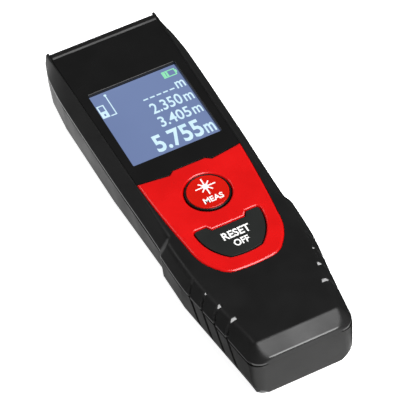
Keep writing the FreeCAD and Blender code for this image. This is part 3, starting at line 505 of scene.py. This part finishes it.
# %% Outlines of the plates and keys
CAP_BACK, CAP_HALF, BEZEL_FRONT = 57.3, 15.9, 16.3
KEY_CENTRE = (0.0, -6.25)
panel_loop = outline([
    (-4.8, 5.05, None), (-6.3, 3.95, None), (-15.35, 5.15, 330), (-13.1, -21.25, 15.5), (-9.2, -31.0, 5.5),
    (-5.5, -33.35, 42), (5.5, -33.35, 5.5), (9.2, -31.0, 15.5), (13.1, -21.25, 330), (15.35, 5.15, None),
    (6.3, 3.95, None), (4.8, 5.05, None)])
bezel_loop = outline([
    (-BEZEL_FRONT, CAP_BACK, None), (-15.35, 5.15, None), (-6.3, 3.95, None), (-4.8, 5.05, None),
    (4.8, 5.05, None), (6.3, 3.95, None), (15.35, 5.15, None), (BEZEL_FRONT, CAP_BACK, None)])
clear_loop = outline([
    (-4.9, -18.35, None), (-5.9, -16.8, None), (-8.6, -16.8, 0.85), (-9.35, -17.6, 14), (-4.4, -28.35, 19),
    (4.4, -28.35, 14), (9.35, -17.6, 0.85), (8.6, -16.8, None), (5.9, -16.8, None), (4.9, -18.35, None)])
TOE = panel_loop[:, 1].min()
print("plate ends at", round(TOE, 2), "mm;", len(panel_loop), "points round the red panel")

# %% [markdown]
# The section is a row of columns, each a pair of arrays that hold its x and z at every row.  A
# lofted curve could be swept instead, but columns put points exactly where an edge must stay crisp.

# %% Columns of the section
ARC_STEPS, BEVEL_STEPS, SCOOP_STEPS, SCOOP_REACH = 8, 6, 16, 2.6
RECESS_LIP, TOP_SOFT, FOOT_SOFT, SEAM_INSET = 0.12, 1.2, 0.2, 0.55
HEEL_WALL, LEDGE_WIDTH = 1.8, 1.2
SEAM_WALL, CHAMFER_SIDE, CHAMFER_RISE, ROOF_INSET = 1.7, 2.0, 0.9, 0.6
PLATES_MEET, PLATES_HALF, STEP_HALF, TOE_ARC = 5.15, 15.35, 6.4, -30


def plate_edge(y):
    """Half-width of the recess that the plates lie in; none beyond the toe of the red panel."""
    side = panel_loop[(panel_loop[:, 0] >= -1e-9) & (panel_loop[:, 1] < PLATES_MEET + 0.05)]
    side = side[(side[:, 0] > STEP_HALF) | (side[:, 1] < TOE_ARC)]
    side = side[np.argsort(side[:, 1])]
    panel = np.interp(y, np.r_[TOE, side[:, 1]], np.r_[0, side[:, 0]])
    bezel = np.interp(y, [PLATES_MEET, CAP_BACK], [PLATES_HALF, BEZEL_FRONT])
    return np.where(y > CAP_BACK, CAP_HALF, np.where(y > PLATES_MEET, bezel, np.where(y >= TOE, panel, 0)))


def bend(a, b, c, steps):
    """Columns along a curve from a to c that leans towards b: (1-t)^2 a + 2t(1-t) b + t^2 c."""
    t = np.linspace(0, 1, steps)
    return [((1 - s) ** 2 * a[0] + 2 * s * (1 - s) * b[0] + s * s * c[0],
             (1 - s) ** 2 * a[1] + 2 * s * (1 - s) * b[1] + s * s * c[1]) for s in t]


def outer_columns(y):
    """Right half of the outside, from the recess to the seam, as columns of (x, z) over all rows."""
    seam = glide(y, STATIONS[:, 2])
    share = corner_share(y, seam)
    flat, seam, top = glide(y, STATIONS[:, 1]) * share, seam * share, top_height(y)
    edge = plate_edge(y)
    deep = np.where(y > CAP_BACK, top - PARTING, np.where(y >= TOE, PLATE, 0))
    lip = np.where(deep > 0, RECESS_LIP, 0)
    foot = PARTING + LIP
    run, fall = seam - flat, foot - top
    long = np.hypot(run, fall)
    soft = np.minimum(np.minimum(TOP_SOFT, 0.8 * (flat - edge - lip)), 0.4 * long)
    start, corner = (flat - soft, top), (flat, top)
    end = (flat + soft * run / long, top + soft * fall / long)
    low_start = (seam - FOOT_SOFT * run / long, foot - FOOT_SOFT * fall / long)
    columns = [(edge, top - deep), (edge, top - lip), (edge + lip * 0.3, top - lip * 0.3)]
    inner = edge + lip
    fine = start[0] - np.minimum(SCOOP_REACH, 0.9 * (start[0] - inner))
    columns += [(inner + (fine - inner) * s, top + 0 * y) for s in (0, 0.33, 0.67)]
    columns += [(fine + (start[0] - fine) * s, top + 0 * y) for s in np.linspace(0, 1, SCOOP_STEPS)[:-1]]
    columns += bend(start, corner, end, ARC_STEPS)
    columns += [(end[0] + (low_start[0] - end[0]) * s, end[1] + (low_start[1] - end[1]) * s)
                for s in np.linspace(0, 1, BEVEL_STEPS + 1)[1:-1]]
    columns += bend(low_start, (seam, foot + 0 * y), (seam, foot - FOOT_SOFT + 0 * y), ARC_STEPS - 2)
    inset = seam - SEAM_INSET
    columns += [(seam, SHADOW + 0 * y), (inset, SHADOW + 0 * y), (inset, PARTING + 0 * y)]
    return columns


def inner_columns(y):
    """The inside, from the seam back up to the ledge under the plates, and the ledge's edge on its own."""
    y = np.maximum(y, HEEL + HEEL_WALL)
    seam = glide(y, STATIONS[:, 2])
    share = corner_share(y, seam)
    flat, seam = glide(y, STATIONS[:, 1]) * share, seam * share
    edge = plate_edge(y)
    front = y > CAP_BACK
    ledge = np.where(front, edge, np.maximum(edge - LEDGE_WIDTH, 0))
    roof = np.where(front, PARTING, SKIN_UNDER)
    over = np.where(front, PARTING, np.where(y >= TOE, TOP - PLATE, top_height(y)))
    columns = [(np.where(front, edge, seam - SEAM_WALL), PARTING + 0 * y),
               (np.where(front, edge, seam - CHAMFER_SIDE), np.where(front, PARTING, PARTING + CHAMFER_RISE)),
               (np.where(front, edge, np.maximum(flat - ROOF_INSET, ledge)), roof), (ledge, roof)]
    return columns, (ledge, over)


print("columns:", len(outer_columns(np.zeros(1))), "outside,", len(inner_columns(np.zeros(1))[0]), "inside")

# %% [markdown]
# Four grooves on each side lean towards the heel, and each ends on the flat top in a short scoop.
# The scoops, the lip at the seam and the heel's edge are rubbed until they shine.  A boolean cutter
# would leave long thin triangles there; moving the surface's own points keeps the grid's.

# %% Grooves and rubbed edges
GROOVE_FIRST, GROOVE_PITCH, GROOVE_LEAN = -30.2, 5.5, math.tan(math.radians(22.8))
GROOVE_HALF, GROOVE_SOFT, GROOVE_DEPTH, GROOVE_EASE = 0.40, 0.06, 0.9, 1.6
SCOOP_LENGTH = np.array([0.05, 0.55, 1.1, 1.75])
SCOOP_HALF, SCOOP_BASE, SCOOP_DROP, SCOOP_DEEP = 0.42, 0.15, 0.58, 1.0
SCOOP_RAMP, SCOOP_UNDER = 0.15, 1.2
SEAM_SHINE, SEAM_MARGIN, SEAM_REACH = 0.8, 0.02, 0.15
EDGE_SHINE, EDGE_REACH, EDGE_LOW, EDGE_HALF = 0.7, 0.43, 18.95, 11.2
SHINE_BELOW, SHINE_OVER = 0.12, 0.1


def across_groove(index, y, z):
    """Distance from a groove's middle line, measured square to it, towards the nose.

    The line runs straight across the scoop, then leans towards the heel down to the parting line.
    """
    top = TOP - SCOOP_DEEP
    fall = (TOP - PARTING) * np.clip((top - z) / (top - PARTING), 0, 1)
    middle = GROOVE_FIRST - index * GROOVE_PITCH - fall * GROOVE_LEAN
    return (y - middle) / math.hypot(1, GROOVE_LEAN)


def carve(x, y, z, flat_edge):
    """Cut the leaning grooves.  On the bevel, points move inwards, and the cut grows deeper downwards.

    At its top each groove ends in a scoop with a plane floor that drops towards the heel:
    floor = top - base - D (1 - a) / 2, with a from -1 to 1 across it.
    """
    shift, drop = 0 * x, 0 * z
    for index, length in enumerate(SCOOP_LENGTH):
        away = across_groove(index, y, z)
        near = np.clip((x - flat_edge + length) / SCOOP_RAMP, 0, 1) * (z > TOP - SCOOP_UNDER)
        half = GROOVE_HALF + (SCOOP_HALF - GROOVE_HALF) * near
        inside = np.clip((half + GROOVE_SOFT - np.abs(away)) / (2 * GROOVE_SOFT), 0, 1)
        shift += inside * GROOVE_DEPTH * np.clip((TOP - SCOOP_DEEP - z) / GROOVE_EASE, 0, 1)
        floor = TOP - SCOOP_BASE - SCOOP_DROP * np.clip(1 - away / half, 0, 2) / 2
        drop += inside * near * np.maximum(z - floor, 0)
    return x - shift, z - drop


def polish_casing(mesh):
    """Give each point a value "polished": 1 in the scoops, a little less along the sharp edges, else 0."""
    place = np.empty(len(mesh.vertices) * 3)
    mesh.vertices.foreach_get("co", place)
    x, y, z = (place.reshape(-1, 3) / MM).T
    x = np.abs(x)
    flat, seam = glide(y, STATIONS[:, 1]), glide(y, STATIONS[:, 2])
    wall = seam * corner_share(y, seam)
    at_seam = (z < PARTING + LIP + SEAM_MARGIN) & (z > SHADOW - SEAM_MARGIN) & (x > wall - SEAM_REACH)
    at_heel = (y < HEEL + EDGE_REACH) & (z > EDGE_LOW) & (x < EDGE_HALF)
    rubbed = np.where(at_heel, EDGE_SHINE, SEAM_SHINE * at_seam)
    for index, length in enumerate(SCOOP_LENGTH):
        within = (np.abs(across_groove(index, y, TOP)) < SCOOP_HALF) & (x > flat - length - SHINE_OVER)
        rubbed[within & (z < TOP - SHINE_BELOW) & (z > TOP - SCOOP_DEEP)] = 1
    mesh.attributes.new("polished", "FLOAT", "POINT").data.foreach_set("value", rubbed.astype(float))
    return mesh


print("grooves start at", [GROOVE_FIRST - index * GROOVE_PITCH for index in range(len(SCOOP_LENGTH))], "mm")

# %% [markdown]
# The rows lie close together where the form turns: at the cap, at the waist's ramp, over the
# grooves, at the toe of the red panel and round the heel.  The last rows stay in one place and fold
# the section down to the parting plane, which closes the heel.

# %% Rows and the closed mesh
def casing_rows():
    """Positions along Y, and the share of its height that the section keeps at each."""
    corner = HEEL + HEEL_RADIUS - HEEL_RADIUS * np.sin(np.radians(np.linspace(0, 66, 16)))
    toe = TOE + (-33.35 - TOE) * (1 - np.cos(np.linspace(0, np.pi / 2, 14)))
    cap, bezel = np.linspace(NOSE, CAP_BACK + 1e-4, 8), np.linspace(CAP_BACK - 1e-4, 5.15, 60)
    keys, waist = np.linspace(5.1, -13, 40), np.linspace(-13.1, -18.6, 44)
    grip, grooves = np.linspace(-19, -27.8, 20), np.linspace(-28, -54, 212)
    crest = np.linspace(-54.2, -56.7, 26)
    y = np.concatenate([cap, bezel, keys, waist, grip, grooves, toe, [TOE - 0.002], crest, corner])
    y = np.unique(y.round(5))[::-1]
    fold = np.ones(len(y))
    t = np.linspace(0, 1, 9)[1:]
    rim = HEEL + (y[-1] - HEEL) * (1 - t) ** 2
    y = np.concatenate([y, rim, np.full(10, HEEL)])
    return y, np.concatenate([fold, 1 - 0.14 * t ** 2, np.linspace(0.86, 0, 11)[1:]])


def casing_top_mesh():
    """Closed section carried from nose to heel, right half and its mirror, merged where they meet."""
    y, fold = casing_rows()
    outer = outer_columns(y)
    inner, ledge = inner_columns(y)
    x = np.stack([c[0] + 0 * y for c in outer], axis=1)
    z = np.stack([c[1] + 0 * y for c in outer], axis=1)
    deep = np.broadcast_to(y[:, None], x.shape).copy()
    flat_edge = (glide(y, STATIONS[:, 1]) * corner_share(y, glide(y, STATIONS[:, 2])))[:, None]
    x[:, 3:], z[:, 3:] = carve(x[:, 3:], deep[:, 3:], z[:, 3:], flat_edge)
    inside_y = np.maximum(y, HEEL + HEEL_WALL)
    loops_x = np.column_stack([ledge[0], x] + [c[0] + 0 * y for c in inner])
    loops_y = np.column_stack([y, deep] + [inside_y] * len(inner))
    loops_z = np.column_stack([ledge[1], z] + [c[1] + 0 * y for c in inner])
    loops_z = PARTING + (loops_z - PARTING) * fold[:, None]
    rows, columns = loops_x.shape
    right = np.stack([loops_x, loops_y, loops_z], axis=-1).reshape(-1, 3)
    faces = grid_faces(rows, columns, ring=True)
    faces = faces[~(np.abs(right[faces, 0]) < 1e-6).all(axis=1)]
    left = right * (-1, 1, 1)
    count = len(right)
    ends = [np.arange(columns), np.arange(columns) + (rows - 1) * columns]
    caps = [end + shift for end in ends for shift in (0, count)]
    faces = np.concatenate([faces, faces[:, ::-1] + count])
    return merged_mesh("casing_top", np.concatenate([right, left]), faces, caps)


finish_piece("casing_top", polish_casing(casing_top_mesh()), casing_black, "casing", "casing", "upper_shell")

# %% [markdown]
# ## Plates
#
# The glossy black bezel and the red panel are thin mouldings whose edges are polished round, which
# draws a bright line along every edge that faces the light.  A bevelled curve would round the rim
# and the holes by one width; a plate takes a width of its own for each.

# %% Bezel and red panel
SCREEN, SCREEN_CORNER = (-13.1, 11.55, 13.1, 40.55), 0.3
GAP, KEY_HOLE, CLEAR_GAP = 0.05, 6.45, 0.28
PANEL_TOP, PANEL_EDGES, PANEL_DROP = 22.25, (0.85, 0.7, 0.6), 0.62
BEZEL_EDGES, BEZEL_DROP = (0.06, 0.35), 0.22
window = rectangle(*SCREEN, SCREEN_CORNER)
key_hole = circle(KEY_CENTRE, KEY_HOLE)
clear_hole = shrink(clear_loop, -CLEAR_GAP)
bezel_loops = [shrink(bezel_loop, GAP), window[::-1]]
bezel_mesh = plate("bezel", bezel_loops, TOP - PLATE, TOP, BEZEL_EDGES, BEZEL_DROP)
finish_piece("bezel", bezel_mesh, bezel_black, "casing", "bezel", "display_bezel")
panel_loops = [shrink(panel_loop, GAP), key_hole[::-1], clear_hole[::-1]]
panel_mesh = plate("red_panel", panel_loops, TOP - PLATE, PANEL_TOP, PANEL_EDGES, PANEL_DROP)
finish_piece("red_panel", panel_mesh, panel_red, "casing", "red_panel", "keypad_panel")

# %% [markdown]
# Under each opening the casing's own wall goes on down, so that no light leaks out of the gaps.

# %% Walls below the openings
WELL_FOOT, KEY_WELL = 19.45, 6.5


def well(name, loop, low, high, thick):
    """Wall below an opening: the loop and a wider copy, joined at top and bottom, as one closed ring."""
    wide = shrink(loop, -thick)
    rings = [(loop, high), (loop, low), (wide, low), (wide, high), (loop, high)]
    points = np.concatenate([np.column_stack([ring, np.full(len(ring), z)]) for ring, z in rings])
    return merged_mesh(name, points, grid_faces(len(rings), len(loop), ring=True))


for name, loop, foot, thick, material in (
        ("screen_well", window, SKIN_UNDER, 1.0, bezel_black),
        ("key_well", circle(KEY_CENTRE, KEY_WELL), WELL_FOOT, 0.8, casing_black),
        ("clear_well", clear_hole, WELL_FOOT, 0.6, casing_black)):
    finish_piece(name, well(name, loop, foot, TOP - PLATE, thick), material, "casing", "casing")

# %% [markdown]
# ## Keys
#
# The round key is two mouldings: a dark collar that slides in the panel, and a red disc set in it,
# with a shallow dish for the thumb.  Both are profiles carried round the key's axis.  The wide key
# is soft rubber with a gentle rounding.

# %% Keys
CLEAR_FOOT, CLEAR_TOP, CLEAR_EDGE = 18.7, 22.05, 0.12
collar = [(0, 21.7), (5.78, 21.7), (5.80, 22.22), *quarter((5.95, 22.27), 0.13, 180, 4),
          *quarter((5.95, 22.15), 0.25, 90), (6.2, 19.4), (7.1, 19.4), (7.1, 18.6), (1.6, 18.6),
          (1.6, 17.35), (0, 17.35)]
collar_mesh = revolve("key_collar", collar, KEY_CENTRE)
finish_piece("key_collar", collar_mesh, collar_black, "measure_key", "grey_key", "measure_button")
disc = [(0, 22.40), (4.95, 22.40), (5.15, 22.44), (5.3, 22.46), *quarter((5.42, 22.14), 0.32, 90),
        (5.74, 21.72), (0, 21.72)]
finish_piece("key_disc", revolve("key_disc", disc, KEY_CENTRE), key_red, "measure_key", "red_key")
clear_mesh = plate("clear_key", [clear_loop], CLEAR_FOOT, CLEAR_TOP, CLEAR_EDGE)
finish_piece("clear_key", clear_mesh, key_grey, "clear_key", "grey_key", "clear_button")

# %% [markdown]
# ## Marks on the keys and the screen
#
# Printed marks are thin films.  Each word is made from Blender's own font, turned into a mesh and
# fitted to its box.  Simple signs are thin plates cut to their outlines.

# %% Marks
FILM, BOLD = 0.03, 0.026
DISC_FACE, STAR_FOOT, STAR_FACE = 22.40, 22.39, 22.43


def words(name, text, box, z, bold=0.0):
    """A word as a thin mesh, stretched to fill a box (x0, y0, x1, y1) at a height."""
    curve = bpy.data.curves.new(name, "FONT")
    curve.body, curve.size, curve.offset, curve.extrude, curve.resolution_u = text, 1.0, bold, 0.01, 3
    holder = bpy.data.objects.new(name + "_text", curve)
    mesh = bpy.data.meshes.new_from_object(holder)
    bpy.data.objects.remove(holder)
    place = np.empty(len(mesh.vertices) * 3)
    mesh.vertices.foreach_get("co", place)
    place = place.reshape(-1, 3)
    low, high = place.min(axis=0), place.max(axis=0)
    target_low, target_high = np.array([box[0], box[1], z]), np.array([box[2], box[3], z + FILM])
    place = target_low + (place - low) / (high - low) * (target_high - target_low)
    mesh.vertices.foreach_set("co", (place * MM).ravel())
    mesh.name = name
    return mesh


def ray_star(centre, core, long, short, half):
    """Outline of eight bars round a disc: each bar leaves the disc and returns to it."""
    points = []
    for index in range(8):
        middle = math.radians(45 * index)
        reach = long if index % 2 == 0 else short
        spread = math.asin(half / core)
        along = np.array([math.cos(middle), math.sin(middle)])
        across = np.array([-math.sin(middle), math.cos(middle)])
        gap = np.linspace(middle - math.radians(45) + spread, middle - spread, 4)
        points += [core * np.array([math.cos(a), math.sin(a)]) for a in gap]
        points += [along * reach - across * half, along * reach + across * half]
    return np.array(centre) + np.array(points)


star = plate("ray_sign", [ray_star((0.2, -4.45), 0.9, 2.9, 2.15, 0.2)], STAR_FOOT, STAR_FACE)
finish_piece("ray_sign", star, label_white, "measure_key", "red_key")
for name, text, box, face, body, slot in (
        ("key_word", "MEAS", (-2.5, -10.0, 3.2, -8.05), DISC_FACE, "measure_key", "red_key"),
        ("clear_word", "RESET", (-3.6, -23.15, 4.3, -20.55), CLEAR_TOP, "clear_key", "grey_key"),
        ("off_word", "OFF", (-1.8, -26.25, 2.5, -23.95), CLEAR_TOP, "clear_key", "grey_key")):
    finish_piece(name, words(name, text, box, face, BOLD), label_white, body, slot)

# %% [markdown]
# The screen shows a plain example: an empty line, two past readings, their sum in large figures,
# the sign for measuring from the rear edge, and the battery's charge.

# %% Screen
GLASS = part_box("lcd_panel")[1][2] / MM
INK = GLASS + 0.01
for name, text, box, bold in (
        ("reading_1", "2.350", (0.15, 26.35, 9.25, 30.35), 0.012),
        ("unit_1", "m", (9.95, 26.35, 12.55, 29.0), 0.012),
        ("reading_2", "3.405", (0.05, 21.05, 9.25, 24.95), 0.012),
        ("unit_2", "m", (9.95, 21.05, 12.55, 23.65), 0.012),
        ("reading_sum", "5.755", (-4.65, 13.15, 9.35, 19.4), 0.022),
        ("unit_sum", "m", (9.85, 13.15, 12.65, 16.55), 0.02),
        ("unit_0", "m", (9.95, 31.75, 12.55, 34.35), 0.012)):
    finish_piece(name, words(name, text, box, INK, bold), ink_white, "casing", "screen")


def signs(name, loops):
    """Thin plate on the screen, cut to its outlines."""
    return plate(name, loops, INK, INK + FILM)


dashes = [rectangle(-0.25 + 2.0 * k, 32.15, 1.15 + 2.0 * k, 32.6) for k in range(5)]
finish_piece("dashes", signs("dashes", dashes), ink_white, "casing", "screen")
edge_line = [rectangle(-8.8, 31.45, -8.5, 39.4), rectangle(-10.25, 31.45, -8.8, 31.8)]
finish_piece("edge_line", signs("edge_line", edge_line), ink_white, "casing", "screen")
finish_piece("edge_dot", signs("edge_dot", [circle((-8.65, 39.2), 0.4, 24)]), ink_white, "casing", "screen")
tool_sign = [rectangle(-12.65, 31.55, -10.55, 36.35), rectangle(-12.3, 34.0, -10.9, 36.0)[::-1],
             rectangle(-11.85, 32.25, -11.35, 33.1)[::-1]]
finish_piece("tool_sign", signs("tool_sign", tool_sign), ink_white, "casing", "screen")
cell = [rectangle(8.35, 36.75, 12.25, 39.25), rectangle(8.65, 37.05, 11.95, 38.95)[::-1]]
finish_piece("battery_sign", signs("battery_sign", cell), ink_green, "casing", "screen")
charge = [rectangle(8.7 + 0.75 * k, 37.1, 9.25 + 0.75 * k, 38.9) for k in range(2)]
charge += [rectangle(12.3, 37.5, 12.6, 38.5)]
finish_piece("charge_bars", signs("charge_bars", charge), ink_green, "casing", "screen")

# %% [markdown]
# ## Stage and light
#
# A wide white floor lights the casing's sides from below, as in a product picture.  One large soft
# lamp hangs beyond the heel, and a small weak one beyond the nose.  Three flat cards lie just above
# the floor and show only in reflections: bright beyond the heel, nearly black on the right, and on
# the left brighter away from the heel.  Lamps alone would do, but cards say what each side mirrors.

# %% Stage and light
def flat_card(name, corners, height, finish):
    """Flat card on the stage, from its corners in metres."""
    mesh = bpy.data.meshes.new(name)
    mesh.from_pydata([(x, y, height) for x, y in corners], [], [tuple(range(len(corners)))])
    card = bpy.data.objects.new(name, mesh)
    bpy.context.scene.collection.objects.link(card)
    mesh.materials.append(finish.material)
    return card


FAR, FLOOR_HEIGHT, CARD_HEIGHT = 3.0, -0.0002, 0.0005
CARD_HEEL, CARD_LEFT, CARD_RIGHT = -0.062, -0.012, 0.021
floor_finish = Finish("floor_white", Roughness=0.9, Emission_Strength=0.85, Emission_Color=(1, 1, 1, 1))
clouds = floor_finish.noise(0.02, 2.0)
floor_finish.feed("Base Color", floor_finish.blend(clouds, (0.93, 0.93, 0.93, 1), (0.96, 0.96, 0.96, 1)))
flat_card("floor", [(-FAR, -FAR), (FAR, -FAR), (FAR, FAR), (-FAR, FAR)], FLOOR_HEIGHT, floor_finish)


def lit_card(name, start, stop, low, high):
    """Card that glows along its diagonal x + y, from low at the start to high at the stop."""
    finish = Finish(name, Base_Color=(0, 0, 0, 1), Roughness=1.0, Emission_Strength=1.0)
    apart = finish.node("ShaderNodeSeparateXYZ", None, {"Vector": finish.place()}).socket.node.outputs
    tone = finish.spread(Wire(finish, apart["X"]) + Wire(finish, apart["Y"]), start, stop, 0.0, 1.0)
    finish.feed("Emission Color", finish.blend(tone, (low, low, low, 1), (high, high, high, 1)))
    return finish


cards = [
    flat_card("left_card", [(-FAR, CARD_HEEL), (CARD_LEFT, CARD_HEEL), (CARD_LEFT, FAR), (-FAR, FAR)],
              CARD_HEIGHT, lit_card("card_left", -0.100, 0.045, 0.0, 1.2)),
    flat_card("front_card", [(-FAR, -FAR), (FAR, -FAR), (FAR, CARD_HEEL), (-FAR, CARD_HEEL)],
              CARD_HEIGHT, lit_card("card_front", -0.1, 0.1, 1.4, 1.5)),
    flat_card("right_card", [(CARD_RIGHT, CARD_HEEL), (FAR, CARD_HEEL), (FAR, FAR), (CARD_RIGHT, FAR)],
              CARD_HEIGHT, lit_card("card_right", 0.0, 0.1, 0.015, 0.03)),
]
for card in cards:
    card.visible_camera = card.visible_diffuse = card.visible_shadow = False


def soft_lamp(name, where, size, power):
    """Square lamp aimed at the middle of the meter."""
    data = bpy.data.lights.new(name, "AREA")
    data.size, data.energy = size, power
    lamp = bpy.data.objects.new(name, data)
    bpy.context.scene.collection.objects.link(lamp)
    away = np.array(where, float)
    forward = -away / np.linalg.norm(away)
    right = np.cross(forward, (0, 0, 1))
    right /= np.linalg.norm(right)
    turn = np.eye(4)
    turn[:3, :3] = np.array([right, np.cross(right, forward), -forward]).T
    turn[:3, 3] = away
    lamp.matrix_world = Matrix(turn.tolist())


soft_lamp("key_lamp", (0.30, -0.62, 1.05), 0.9, 25)
soft_lamp("rim_lamp", (-0.50, 0.71, 0.82), 0.35, 1.3)
room = bpy.data.worlds.new("room")
room.use_nodes = True
room.node_tree.nodes["Background"].inputs["Color"].default_value = (1, 1, 1, 1)
room.node_tree.nodes["Background"].inputs["Strength"].default_value = 0.16
bpy.context.scene.world = room
bpy.context.scene.view_settings.view_transform = "Standard"
print("lamps:", len(bpy.data.lights))
